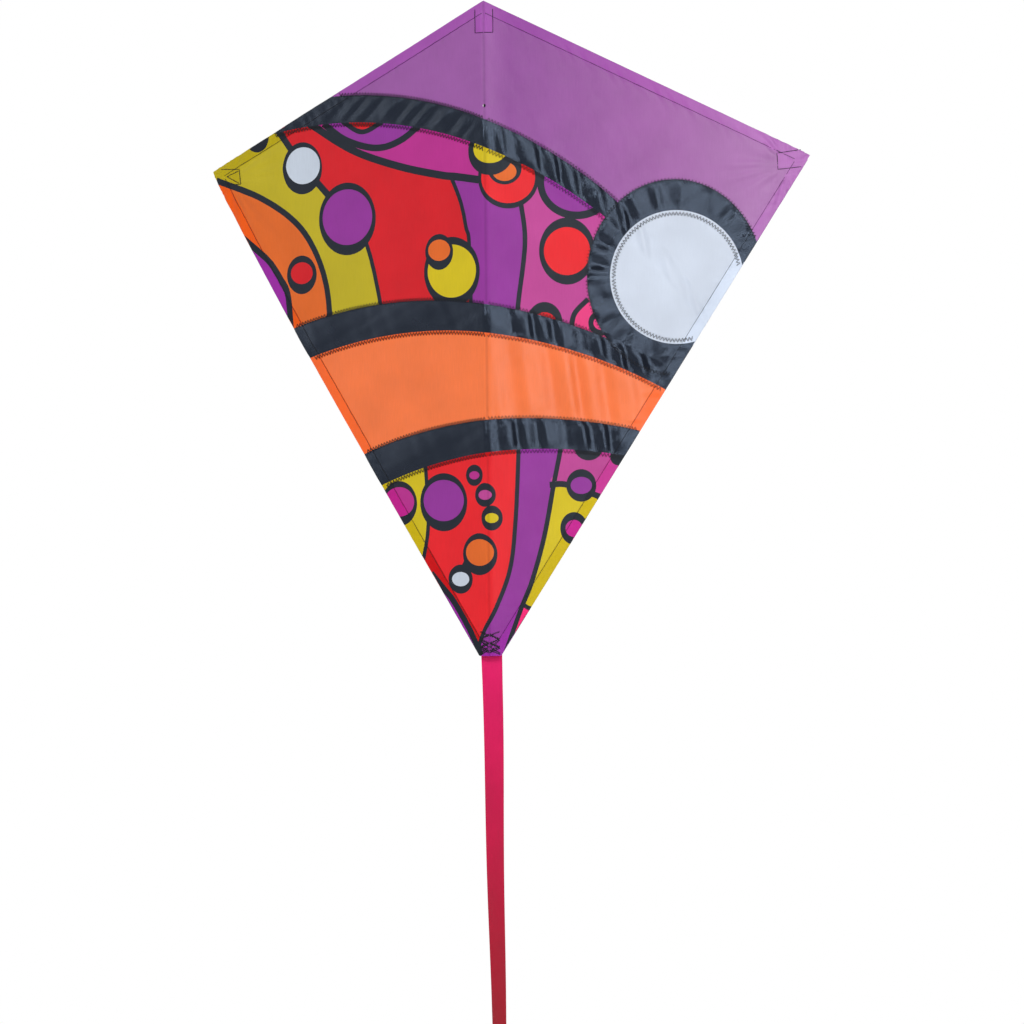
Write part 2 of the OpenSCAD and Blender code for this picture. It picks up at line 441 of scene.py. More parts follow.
def lower_print():
    yellow_red = [(-84, -375), (-84, -422), (-81, -483), (-88, -525), (-104, -575), (-130, -650)]
    red_violet = [(37, -375), (36, -405), (32, -481), (25, -539), (8, -585), (-9, -616), (-22, -650)]
    violet_yellow = [(88, -375), (85, -401), (77, -441), (65, -503), (50, -555), (37, -587), (14, -650)]
    pink_foot = [(72, -442), (92, -442), (127, -455), (160, -470)]
    edge_curve = [(-78, -544), (-63, -560), (-49, -575), (-36, -594), (-24, -614), (-11, -640)]
    short_bar = [(40, -581), (46, -585), (54, -586)]
    return [
        *sheet_of("yellow"),
        *field("bright_red", yellow_red),
        *field("violet", red_violet),
        *field("yellow", violet_yellow),
        *filled("pink", pink_foot, [(FAR, -470), (FAR, -350), (90, -350), (82, -410)]),
        *stroke(7, pink_foot),
        *stroke(5, yellow_red),
        *stroke(5, red_violet),
        *stroke(5.5, violet_yellow),
        *filled("hot_pink", short_bar, [(80, -590), (50, -640), (16, -640)]),
        *stroke(5, violet_yellow[-3:]),
        *stroke(5, short_bar),
        *filled("violet", edge_curve, [(-FAR, -640), (-FAR, -544)]),
        *stroke(7.5, edge_curve),
        ("black", ellipse((118, -398), (17, 16))),
        ("black", ellipse((152, -410), (9, 10))),
        *spot("magenta", (-121, -460), (20.6, 17.4), (24.5, 26.5), (-121, -462)),
        *spot("violet", (-60, -459), (27.4, 24.2), (32, 34), (-60, -461)),
        *spot("magenta", (-18, -430), (7, 4.8), (11.5, 12.5)),
        *spot("pink", (-4, -453), (8.6, 5.8), (13.2, 14)),
        *spot("yellow", (4, -480), (8.2, 5.8), (13, 14.6)),
        *stroke(9, [(-22, -520), (-30, -533), (-36, -545)]),
        *spot("orange", (-12, -520), (18.4, 15.6), (22.4, 24.5), (-12, -522)),
        *spot("spot_white", (-38, -551), (11.8, 8.4), (16.5, 17)),
        *spot("violet", (109, -443), (12.5, 10), (17.5, 19)),
        *spot("magenta", (100, -493), (10, 10), (16, 19)),
    ]


PRINTS = {"middle_panel": middle_print(), "lower_panel": lower_print()}


def dyes_at(points, panel, hemmed):
    """The cloth's colour at each point, sRGB, given its panel and whether a hem doubles it."""
    rgb = np.zeros((len(points), 3))
    # The top panel's purple, with its painted sheen towards the right tip and painted shade streak
    # right of the crease
    top = panel == NAMES.index("top_panel")
    places, colours = zip(*PURPLE_WITH_PAINTED_SHEEN)
    for i, channel in enumerate(zip(*colours)):
        rgb[top, i] = np.interp(points[top, 0], places, channel)
    for i, slot in enumerate(PANELS.values()):
        if slot in DYES:
            rgb[panel == i] = DYES[slot]
    for name, shapes in PRINTS.items():
        own = np.flatnonzero(panel == NAMES.index(name))
        for colour, polygon in shapes:
            rgb[own[inside(polygon, points[own])]] = DYES[colour]
    # Doubled cloth gets a deeper colour, partly painted shade for the light that shines less through
    # two layers
    return np.where((hemmed | lapped(points, panel))[:, None], two_layer_colour_and_painted_shade(rgb), rgb)


def lapped(points, panel):
    """Where a second layer lies behind a panel: under the bands' lower edges and at the corners."""
    found = np.zeros(len(points), bool)
    for _, low_seam in BANDS:
        depth = depth_in(low_seam, points)
        found |= (depth > 0) & (depth < lap) & ~np.isin(panel, [RING, DISC])
    found |= (np.abs(points[:, 0]) < patch_half + 0.5) & (points[:, 1] > patch_z)
    found |= (np.abs(points[:, 0]) > tip_pocket_s) & (points[:, 1] > tip_z - 17)
    return found


# ---- Folds and puckers of the sewn cloth, in millimetres towards the front ----


def ripple(u, pitch, seed):
    """Uneven folds about pitch apart, from -1 to 1."""
    swing = np.sin(2 * math.pi * u / (pitch * 3.1) + seed * 1.7)
    crest = np.sin(2 * math.pi * u / pitch + 1.2 * swing + seed)
    return 0.85 * crest + 0.15 * np.sin(2 * math.pi * u / (pitch * 0.47) + 2.3 * seed + swing)


def crossed(upper, lower, points):
    """0 on the two seams of a band and 1 midway between them; negative outside it."""
    above, below = depth_in(upper, points), -depth_in(lower, points)
    share = 4 * above * below / np.maximum((above + below) ** 2, 1e-6)
    return np.where(np.minimum(above, below) > -4, share, -1)


# Gathered bands: (seam above, seam below, distance between folds, their depth, seed, depth at a seam)
GATHERED = [
    ("upper_top", "upper_low", 25, 2.5, 0.7, 0.3),
    ("centre_top", "centre_low", 28, 2.6, 2.9, 0.3),
    ("lower_top", "lower_low", 29, 2.6, 4.4, 0.3),
    ("centre_low", "lower_top", 37, 2.4, 1.9, 0.35),
]


def band_puckers(points):
    """Upright folds across the bands, gathered where the cloth is sewn."""
    s, z = points.T
    total = np.zeros(len(points))
    for upper, lower, pitch, depth, seed, rim in GATHERED:
        window = np.clip(crossed(upper, lower, points) + rim, 0, 1) ** 0.7
        total += depth * window * ripple(s + 0.12 * (z - nose_z), pitch, seed)
    return total


def slack_folds(points):
    """The looser folds of the bands' left halves: slanted ones in the upper band, broad ones below."""
    s, z = points.T
    slant = ripple(s - 1.1 * z, 31, 3.3) * (1 - 0.6 * smooth_step(-s, 110, 250))
    total = 1.5 * np.clip(crossed(*BANDS[0], points), 0, 1) * slant
    broad = np.sin(s / 24 + 0.8 * np.sin(z / 19))
    for upper, lower in BANDS[1:]:
        total += np.clip(crossed(upper, lower, points), 0, 1) * broad
    return total


def wrinkles(points):
    """How far the cloth stands in front of the smooth sail."""
    s, z = points.T
    lead, trail = edge_distances(points)
    right, left = smooth_step(s, 2, 26), smooth_step(-s, 6, 40)
    firm = (0.25 + 0.75 * smooth_step(trail, 2, 26)) * smooth_step(lead, 0, 20)
    right, left = right * firm, left * firm
    out = 0.5 * np.sin(s / 47 + 0.6) * np.sin(z / 61) * smooth_step(np.abs(s), 20, 90)
    out += 0.12 * ripple(s + 0.4 * z, 31, 2.0) + 0.10 * ripple(z - 0.5 * s, 23, 5.0)
    out += right * band_puckers(points) + left * slack_folds(points)
    for upper, lower in BANDS:
        out += 0.9 * np.clip(crossed(upper, lower, points), 0, 1)
    out += firm * ring_puckers(points) + tip_folds(points) + hem_pulls(points, lead, trail)
    return out + crease_groove(s) + tow_pull(points)


def crease_groove(s):
    """The narrow groove on the crease and the soft ridge to the right of it."""
    return 0.35 * np.exp(-((s - 5) / 4) ** 2) - 0.8 * np.exp(-(s / 1.6) ** 2)


def ring_puckers(points):
    """Folds that run out from the disc across the dark ring."""
    away = points - RING_AT
    angle = np.arctan2(away[:, 1], away[:, 0])
    inner, outer = disc_distance(points) - DISC_R, 1 - ring_level(points)
    window = np.clip(inner / 12, 0, 1) * np.clip(outer / 0.06, 0, 1)
    depth = 2.3 - 0.7 * smooth_step(away[:, 1] + 0.3 * away[:, 0], 30, 75)
    shade = ripple(angle * 95, 33, 1.1)
    disc = smooth_step(DISC_R - disc_distance(points), 0, 30)
    return depth * window * shade + 0.5 * disc * np.sin(away[:, 0] / 33 + 1) * np.sin(away[:, 1] / 41)


def tip_folds(points):
    """Folds that fan out from the sewn patch at each wing tip."""
    total = np.zeros(len(points))
    for side, depth in ((LEFT, 0.7), (RIGHT, 1.6)):
        away = points - np.array([side * 356, tip_z - 10])
        reach = np.hypot(*away.T)
        angle = np.arctan2(away[:, 1], -side * away[:, 0])
        window = smooth_step(reach, 8, 26) * np.exp(-((reach / 75) ** 2))
        total += depth * window * np.sin(17 * angle + 2 * np.sin(5 * angle + side))
    return total


def hem_pulls(points, lead, trail):
    """Short creases square to the hems' stitching."""
    s, z = points.T
    near_lead = np.exp(-(((lead - hem_w + 1) / 8) ** 2))
    near_trail = np.exp(-(((trail - hem_w + 1) / 8) ** 2))
    out = 0.26 * near_lead * ripple(s + 0.5 * z, 15, 0.9) * (1 + 1.8 * smooth_step(s, 60, 160))
    return out + 0.2 * near_trail * ripple(z, 14, 2.2) * (1 + 2.5 * smooth_step(s, 100, 250))


def tow_pull(points):
    """The two short pulls in the cloth beside the tow hole."""
    s, z = points.T
    ridge = np.exp(-((z + 0.8 * np.abs(s) - 1) / 2.2) ** 2) * np.exp(-(np.abs(s) / 9) ** 2)
    return -0.5 * ridge * smooth_step(np.hypot(s, z), 0.5, 3)


def lifted(points, out=0.0):
    """Flat sail points as points in the frame, in metres, and the directions in front of them."""
    s, z = points.T
    side, run = np.where(s < 0, -1, 1), np.abs(s)
    angle = np.minimum(run / spine_y, dihedral)
    straight = np.maximum(run - wrap, 0)
    x = spine_y * np.sin(angle) + straight * np.cos(angle)
    y = spine_y * (1 - np.cos(angle)) + straight * np.sin(angle)
    front = np.column_stack([side * np.sin(angle), -np.cos(angle), np.zeros(len(s))])
    base = np.column_stack([side * x, y, z])
    return (base + front * np.reshape(out + wrinkles(points), (-1, 1))) * MM, front


# ---- Meshes ----


def new_object(name, verts, faces, material, flat=None, dye=None, smooth=True):
    """A mesh object. flat holds the points on the flat cloth and dye the colour of each face."""
    mesh = bpy.data.meshes.new(name)
    mesh.from_pydata(np.asarray(verts).tolist(), [], [list(map(int, f)) for f in faces])
    mesh.materials.append(material)
    if smooth:
        mesh.polygons.foreach_set("use_smooth", [True] * len(mesh.polygons))
    if flat is not None:
        full = np.column_stack([flat, np.zeros(len(flat))]).astype(np.float32)
        mesh.attributes.new("flat", "FLOAT_VECTOR", "POINT").data.foreach_set("vector", full.ravel())
    if dye is not None:
        sizes = [len(p.vertices) for p in mesh.polygons]
        rgba = np.column_stack([linear(dye), np.ones(len(dye))])
        corners = np.repeat(rgba, sizes, axis=0).astype(np.float32)
        mesh.color_attributes.new("dye", "FLOAT_COLOR", "CORNER").data.foreach_set(
            "color", corners.ravel()
        )
    mesh.update()
    obj = bpy.data.objects.new(name, mesh)
    bpy.context.scene.collection.objects.link(obj)
    return obj


def sharpen_border(mesh):
    """Keeps the shading of a cloth's face flat up to its cut edges."""
    used = np.zeros(len(mesh.loops), np.int32)
    mesh.loops.foreach_get("edge_index", used)
    border = np.bincount(used, minlength=len(mesh.edges)) == 1
    mesh.attributes.new("sharp_edge", "BOOLEAN", "EDGE").data.foreach_set("value", border)


def grid_faces(long, wide):
    """The quads of a grid of long rows with wide points in each."""
    return [(i * wide + j, i * wide + j + 1, (i + 1) * wide + j + 1, (i + 1) * wide + j)
            for i in range(long - 1) for j in range(wide - 1)]


def thicken(obj, thickness):
    """Turns a single surface into closed cloth."""
    sharpen_border(obj.data)
    solid = obj.modifiers.new("cloth thickness", "SOLIDIFY")
    solid.thickness = thickness * MM
    solid.offset = 0


def bend_with_wing(obj):
    """Bakes the object's transform into its mesh."""
    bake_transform(obj)


def closed(polygon):
    return np.vstack([polygon, polygon[:1]])


def constraint_lines():
    """Every line that the sail's mesh has to follow, as open lines of points."""
    lines = [closed(outline()), curve([(0, nose_z), (0, foot_z)], 3.4)]
    for seam in SEAMS:
        lines.append(seam_line(seam))
        if seam.endswith("low"):
            lines.append(lap_line(seam))
    lines += [closed(ellipse(RING_AT, RING_HALF)), closed(ellipse(DISC_AT, (DISC_R, DISC_R)))]
    lines.append(closed(ellipse((0, 0), (tow_r, tow_r), 0.8)))
    for side in (LEFT, RIGHT):
        lines += hem_lines(side)
    for name, shapes in PRINTS.items():
        for _, polygon in shapes[1:]:
            lines += printed_edges(closed(polygon), NAMES.index(name))
    return lines


def printed_edges(line, panel):
    """The parts of a printed shape's outline that cross its panel, without its far closing lines."""
    gap = np.linalg.norm(np.diff(line, axis=0), axis=1)
    own = panel_of(line) == panel
    near = own | np.roll(own, 1) | np.roll(own, -1)
    parts = np.split(np.arange(len(line)), np.flatnonzero(gap > 12) + 1)
    return [run for part in parts for run in runs(line[part], near[part])]


def inner_line(edge, side, inset):
    """A line inset from an edge towards the middle of the sail."""
    towards = normals_of(edge)
    middle = np.array([side * 110, -170])
    facing = np.sign(((middle - edge) * towards).sum(axis=1, keepdims=True))
    return edge + towards * facing * inset


def hem_lines(side):
    """The stitch lines of a wing's two hems, in the part of the sail where they run."""
    lead = inner_line(leading_edge(side), side, hem_w)
    trail = inner_line(trailing_edge(side, 4.0), side, hem_w)
    lead_depth = distance_in(trailing_edge(side), lead)
    trail_depth = distance_in(leading_edge(side), trail)
    lead = lead[(lead_depth > hem_w * 0.9) & (np.abs(lead[:, 0]) >= 1)]
    trail = trail[(trail_depth > hem_w * 0.9) & (side * trail[:, 0] > 1)]
    return [lead, trail]


def grid_points(border):
    """Points inside the sail, closer together where the bands and hems pucker."""
    low, high = border.min(0), border.max(0)
    found = []
    for step, fine in ((grid_step, False), (band_step, True)):
        s = np.arange(low[0], high[0], step)
        z = np.arange(low[1], high[1], step * 0.87)
        gs, gz = np.meshgrid(s, z)
        gs[1::2] += step / 2
        p = np.column_stack([gs.ravel(), gz.ravel()])
        p = p[inside(border, p)]
        banded = np.isin(panel_of(p), SATIN)
        hemmed = np.minimum(*edge_distances(p)) < hem_w + 8
        found.append(p[(banded | hemmed) == fine])
    return np.vstack(found)


def clear_of(points, lines, gap):
    """The points that are at least gap from every line's points."""
    every = np.vstack([respaced(line, 1.2) for line in lines])
    return points[nearest(every, points)[1] > gap]


def triangulated():
    """The whole flat sail as points and triangles that follow every seam and printed edge."""
    border = outline()
    lines = constraint_lines()
    free = clear_of(grid_points(border), lines, 1.1)
    verts, edges = [], []
    for line in lines:
        first = len(verts)
        verts += [Vector(p) for p in line]
        edges += [(first + i, first + i + 1) for i in range(len(line) - 1)]
    verts += [Vector(p) for p in free]
    points, _, faces, *_ = delaunay_2d_cdt(verts, edges, [], 0, 0.02)
    points = np.array([tuple(p) for p in points])
    faces = np.array([f for f in faces if len(f) == 3])
    middle = points[faces].mean(axis=1)
    keep = inside(border, middle) & (np.hypot(*middle.T) > tow_r * 0.97)
    return points, faces[keep & (height_of(points, faces) > 0.04)]


def height_of(points, triangles):
    """Each triangle's height over its longest side, so that slivers can be dropped."""
    corners = points[triangles]
    sides = np.linalg.norm(corners - np.roll(corners, 1, axis=1), axis=2)
    return doubled_areas(points, triangles) / np.maximum(sides.max(axis=1), 1e-9)


def doubled_areas(points, triangles):
    a, b, c = (points[triangles[:, i]] for i in range(3))
    return np.abs((b[:, 0] - a[:, 0]) * (c[:, 1] - a[:, 1]) - (b[:, 1] - a[:, 1]) * (c[:, 0] - a[:, 0]))


def build_sail(materials):
    """Makes one cloth piece for each panel of each wing."""
    points, faces = triangulated()
    middle = points[faces].mean(axis=1)
    panel = panel_of(middle)
    lead, trail = edge_distances(middle)
    dye = dyes_at(middle, panel, np.minimum(lead, trail) < hem_w)
    solid, _ = lifted(points)
    for side in (LEFT, RIGHT):
        for i, (name, slot) in enumerate(PANELS.items()):
            own = (panel == i) & (middle[:, 0] * side > 0)
            if not own.any():
                continue
            used, local = np.unique(faces[own], return_inverse=True)
            local = local.reshape(-1, 3)
            cad_node = f"{SIDE_NAME[side]}_{name}"
            piece = new_object(f"{cad_node}_cloth", solid[used], local, materials[slot],
                               flat=points[used], dye=dye[own])
            thicken(piece, cloth_t)
            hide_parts(cad_node, "sail_crease")
            bend_with_wing(piece)


# ---- Hems: each edge is folded to the back in a roll and stitched down ----


def hem_profile():
    """(distance in from the edge, distance behind the sail) across a hem, back edge first."""
    roll = [(0.45 * (1 - math.cos(a)) - 0.45, 0.5 * hem_gap * (1 + math.sin(a)))
            for a in np.radians([60, 30, 0, -30, -60, -90])]
    flat_part = [(d, hem_gap) for d in (hem_w, hem_w - 1, hem_w - 4, hem_w / 2, 3, 1)]
    return flat_part + roll


def hem_strip(cad_node, edge, side, material):
    """A hem along edge. Its cloth continues the panels' colours round the fold."""
    line = respaced(edge, hem_step)
    away = inner_line(line, side, 1.0) - line
    profile = hem_profile()
    rows, flats = [], []
    for inset, behind in profile:
        flat = line + away * inset
        solid, _ = lifted(flat, out=-behind)
        rows.append(solid)
        flats.append(flat)
    wide, long = len(profile), len(line)
    verts = np.stack(rows, axis=1).reshape(-1, 3)
    flats = np.stack(flats, axis=1).reshape(-1, 2)
    middle = np.repeat((line[:-1] + line[1:]) / 2 + away[:-1] * hem_middle, wide - 1, axis=0)
    # The whole hem takes the doubled colour, partly painted shade for less light shining through two
    # layers
    dye = dyes_at(middle, panel_of(middle), np.ones(len(middle), bool))
    hem = new_object(f"{cad_node}_cloth", verts, grid_faces(long, wide), material, flat=flats, dye=dye)
    thicken(hem, cloth_t)
    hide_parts(cad_node)
    bend_with_wing(hem)


def build_hems(material):
    for side in (LEFT, RIGHT):
        word = SIDE_NAME[side]
        lead, trail = leading_edge(side), trailing_edge(side)[3:]
        lead = lead[side * lead[:, 0] < half_span - 5]
        hem_strip(f"{word}_leading_hem", lead, side, material)
        hem_strip(f"{word}_trailing_hem", trail, side, material)


# ---- Thread ----


def tubes(paths, radius, sides=4):
    """Thin tubes along lines of (points, directions in front), as verts and faces."""
    verts, faces, first = [], [], 0
    for points, front in paths:
        along = unit(np.gradient(points, axis=0))
        across = unit(np.cross(along, front))
        up = np.cross(across, along)
        turns = 2 * math.pi * (np.arange(sides) + 0.5) / sides
        ring = [points + radius * MM * (math.cos(t) * across + math.sin(t) * up) for t in turns]
        verts.append(np.stack(ring, axis=1).reshape(-1, 3))
        long = len(points)
        faces += [(first + i * sides + j, first + i * sides + (j + 1) % sides,
                   first + (i + 1) * sides + (j + 1) % sides, first + (i + 1) * sides + j)
                  for i in range(long - 1) for j in range(sides)]
        faces.append(tuple(first + j for j in range(sides))[::-1])
        faces.append(tuple(first + (long - 1) * sides + j for j in range(sides)))
        first += long * sides
    return np.vstack(verts), faces


def straight_stitch(line, face=1, behind=0.0):
    """A line of stitches that dips into the cloth between them. face is 1 in front, -1 behind."""
    points = respaced(line, stitch_length / 4)
    phase = np.arange(len(points)) % 4
    rise = np.choose(phase, [-0.08, 0.3, 0.36, 0.3])
    return lifted(points, out=face * rise - behind)


def zigzag(line, width=4.6, pitch=4.0, face=1):
    """Zigzag stitching along a line."""
    points = respaced(line, pitch / 4)
    phase = np.arange(len(points)) % 4
    swing = np.choose(phase, [1, 0, -1, 0]) * width / 2
    rise = np.choose(phase, [0.2, 0.45, 0.2, 0.45])
    return lifted(points + normals_of(points) * swing[:, None], out=face * rise)


def runs(line, mask):
    """The parts of a line where mask holds."""
    edges = np.flatnonzero(np.diff(np.concatenate([[0], mask.astype(int), [0]])))
    return [line[a:b] for a, b in zip(edges[::2], edges[1::2]) if b - a > 1]


def seam_runs(side):
    """The joined edges of the bands, ring and disc on one wing."""
    border = outline()
    found = []
    for seam in SEAMS:
        line = moved_in(seam, seam_line(seam, 1.5), 2.6 if seam.endswith("low") else -1.0)
        mask = inside(border, line) & (line[:, 0] * side > 1) & (ring_level(line) > 1.01)
        found += runs(line, mask & clear_of_edge(line))
    if side == RIGHT:
        for line in (ellipse(RING_AT, (RING_HALF[0] - 0.5, RING_HALF[1] - 0.5), 1.5),
                     ellipse(DISC_AT, (DISC_R - 4.2, DISC_R - 4.2), 1.5)):
            line = np.roll(line, (-len(line) - 2) // 2, axis=0)
            found += runs(line, inside(border, line) & clear_of_edge(line))
    return found


def clear_of_edge(line):
    """Where a zigzag along a line stays within the sail's edge."""
    return np.minimum(*edge_distances(line)) > 3.2


def cornered(corners):
    """A line of straight parts between corners."""
    p = np.array(corners, float)
    return np.vstack([curve([a, b], 1.0) for a, b in zip(p[:-1], p[1:])])


def patch_lines(side):
    """Stitching that holds the pockets at the nose and the wing tip."""
    edge = side * patch_half
    nose = [(side * 0.6, patch_z), (edge, patch_z), (edge, nose_z - 9)]
    if side == LEFT:
        tips = [[(-369, -57), (-343, -58), (-341, -76), (-352, -76)],
                [(-344, -60), (-361, -66), (-343, -75)]]
    else:
        tips = [[(370, -53), (342, -57), (343, -76), (371, -73)]]
    return [cornered(line) for line in [nose] + tips]


def foot_rows(side):
    """Stitching run back and forth over the tail pocket, crossing itself."""
    rows = []
    for first, rise, far in ((2, 4.4, 0), (4, 5.3, 1), (3, 7.6, 0)):
        heights = np.arange(foot_z + first, foot_z + 29, rise)
        ends = [12.5 - 0.25 * (i % 5) if i % 2 == far else 0.6 for i in range(len(heights))]
        rows.append(cornered([(side * end, z) for end, z in zip(ends, heights)]))
    return rows


def build_thread(material):
    """All the stitching of each wing's half of the sail, front and back."""
    for side in (LEFT, RIGHT):
        word = SIDE_NAME[side]
        seams = []
        for line in seam_runs(side):
            seams += [zigzag(line), zigzag(line, face=-1)]
        add_thread(f"{word}_seam_stitching", seams, seam_thread_r, material)
        hems = []
        for line in hem_lines(side):
            inset = inner_line(line, side, -1.2)
            inset = inset[side * inset[:, 0] > 0.3]
            hems += [straight_stitch(inset), straight_stitch(inset, face=-1, behind=hem_gap)]
        add_thread(f"{word}_hem_stitching", hems, thread_r, material)
        patches = [straight_stitch(p) for p in patch_lines(side)]
        patches += [zigzag(p, width=1.6, pitch=2.2) for p in foot_rows(side)]
        add_thread(f"{word}_pocket_stitching", patches, thread_r * 1.4, material)


def add_thread(name, paths, radius, material):
    verts, faces = tubes(paths, radius)
    piece = new_object(name, verts, faces, material)
    bend_with_wing(piece)


# ---- Pockets over the ends of the rods ----


def tent(across, half, cap, height):
    """Height of a pocket's cloth over a rod end, across the rod."""
    u = np.clip((half - np.abs(across)) / (half - cap), 0, 1)
    crown = np.sqrt(np.clip(1 - (np.abs(across) / (cap * 1.25)) ** 2, 0, 1))
    return height * (0.78 * u ** 1.3 + 0.22 * crown)


def build_pocket(cad_node, body, centre, along, length, height, material, dye):
    """A cloth pocket: flat margins on the sail, a raised tunnel, and an end that closes down.

    centre is the open end of the pocket on the sail, flat; along is the direction of its closed end.
    """
    across = np.array([along[1], -along[0]])
    u = np.linspace(-pocket_half, pocket_half, 33)
    v = np.linspace(0, length, 30)
    rise = tent(u, pocket_half - 1.5, 4.2, height)
    shut = np.clip((length - 0.8 - v) / 7, 0, 1) ** 0.5
    rows, flats = [], []
    for t, share in zip(v, shut):
        flat = np.array(centre) + np.outer(u, across) + t * np.array(along)
        soft = 0.25 * np.sin(t / 2.3 + u / 3)
        solid, _ = lifted(flat, out=-(hem_gap + (rise + soft * (rise > 1)) * share))
        rows.append(solid)
        flats.append(flat)
    faces = grid_faces(len(v), len(u))
    colours = np.tile(DYES[dye], (len(faces), 1))
    pocket = new_object(f"{cad_node}_cloth", np.vstack(rows), faces, material,
                        flat=np.vstack(flats), dye=colours)
    thicken(pocket, pocket_t)
    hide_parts(cad_node)
    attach(pocket, body)


def build_pockets(material):
    build_pocket("nose_pocket", "spine", (0, nose_pocket_z), (0, 1), nose_pocket_l,
                 spine_pocket_h, material, "purple")
    build_pocket("tail_pocket", "spine", (0, foot_z + foot_pocket_l + 0.5), (0, -1), foot_pocket_l,
                 spine_pocket_h, material, "black")
    for side, dye in ((LEFT, "olive"), (RIGHT, "purple")):
        word = SIDE_NAME[side]
        build_pocket(f"{word}_tip_pocket", f"{word}_wing", (side * tip_pocket_s, spar_z), (side, 0),
                     tip_pocket_l, tip_pocket_h, material, dye)


# ---- The ribbon tail ----


def build_ribbon(material):
    """One ribbon: sewn down behind the foot, then hanging with a slow turn."""
    half = (seam_high.x - seam_low.x) / 2 / MM
    y = (seam_low.y + seam_high.y) / 2 / MM
    top, low = seam_high.z / MM, ribbon_low.z / MM
    bend_end = foot_z - 20
    z = np.concatenate([np.linspace(top, bend_end, 40), np.linspace(bend_end, low, 165)[1:]])
    u = np.linspace(-half, half, 15)
    fall = np.clip((foot_z - z) / (foot_z - low), 0, 1)
    turn = np.radians(4 * smooth_step(fall, 0, 0.08) + 34 * fall)[:, None]
    shift = (4.5 * fall + 0.5 * np.sin(fall * 9))[:, None]
    sway = (1.5 * np.sin(fall * 7) * fall)[:, None]
    cup = (0.5 * np.sin(fall * 21 + 0.5) * smooth_step(fall, 0, 0.1))[:, None]
    x3 = shift + u * np.cos(turn)
    y3 = y + sway - u * np.sin(turn) - cup * (1 - (u / half) ** 2)
    u3, z3 = np.meshgrid(u, z)
    verts = np.stack([x3, y3, z3], axis=2).reshape(-1, 3) * MM
    flat = np.stack([u3, z3], axis=2).reshape(-1, 2)
    # Painted shade: the ribbon's colour darkens towards its end, where it turns away from the light
    share = np.repeat(fall[:-1], len(u) - 1)[:, None]
    dye = (1 - share) * DYES["ribbon"] + share * np.array(DYES["ribbon_painted_shade"])
    ribbon = new_object("tail_ribbon_cloth", verts, grid_faces(len(z), len(u)), material, flat=flat,
                        dye=dye)
    thicken(ribbon, ribbon_t)
    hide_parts("tail_ribbon", "tail_seam")
    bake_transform(ribbon)


# ---- Materials ----


def nodes_of(name):
    """A new material's node tree and its Principled shader."""
    material = bpy.data.materials.new(name)
    material.use_nodes = True
    tree = material.node_tree
    return material, tree, tree.nodes["Principled BSDF"]


def adjust(tree, made, **values):
    """Links or sets a node's inputs, by their names with _ for each space, and its properties."""
    for key, value in values.items():
        name = key.replace("_", " ")
        if isinstance(value, bpy.types.NodeSocket):
            tree.links.new(value, made.inputs[name])
        elif hasattr(made, key):
            setattr(made, key, value)
        else:
            made.inputs[name].default_value = value
    return made


def node(tree, kind, **values):
    return adjust(tree, tree.nodes.new(kind), **values)


def noise(tree, vector, scale, detail=2.0, stretch=(1, 1, 1)):
    placed = node(tree, "ShaderNodeMapping", Vector=vector, Scale=stretch).outputs["Vector"]
    made = node(tree, "ShaderNodeTexNoise", Vector=placed, Scale=scale, Detail=detail)
    return made.outputs["Fac"]


def ranged(tree, value, low, high, source=(0.3, 0.7)):
    made = node(tree, "ShaderNodeMapRange", Value=value, From_Min=source[0], From_Max=source[1],
                To_Min=low, To_Max=high)
    return made.outputs["Result"]


def maths(tree, operation, a, b=0.0):
    made = node(tree, "ShaderNodeMath", operation=operation)
    for slot, value in zip(made.inputs, (a, b)):
        if isinstance(value, (int, float)):
            slot.default_value = value
        else:
            tree.links.new(value, slot)
    return made.outputs[0]


def along_axis(tree, vector, axis):
    return node(tree, "ShaderNodeSeparateXYZ", Vector=vector).outputs[axis]


def weave(tree, flat, pitch):
    """Height of a plain weave with threads pitch apart, in millimetres on the flat cloth."""
    turn = 2 * math.pi / pitch
    warp, weft = (maths(tree, "SINE", maths(tree, "MULTIPLY", along_axis(tree, flat, axis), turn))
                  for axis in "XY")
    return maths(tree, "MULTIPLY", warp, weft)


def painted_rod_shadow(tree, flat, depth):
    """The painted shadow of the spine rod: a faint darker line on the cloth over it."""
    away = maths(tree, "ABSOLUTE", along_axis(tree, flat, "X"))
    return ranged(tree, away, 1 - depth, 1, (0.4, 2.6))


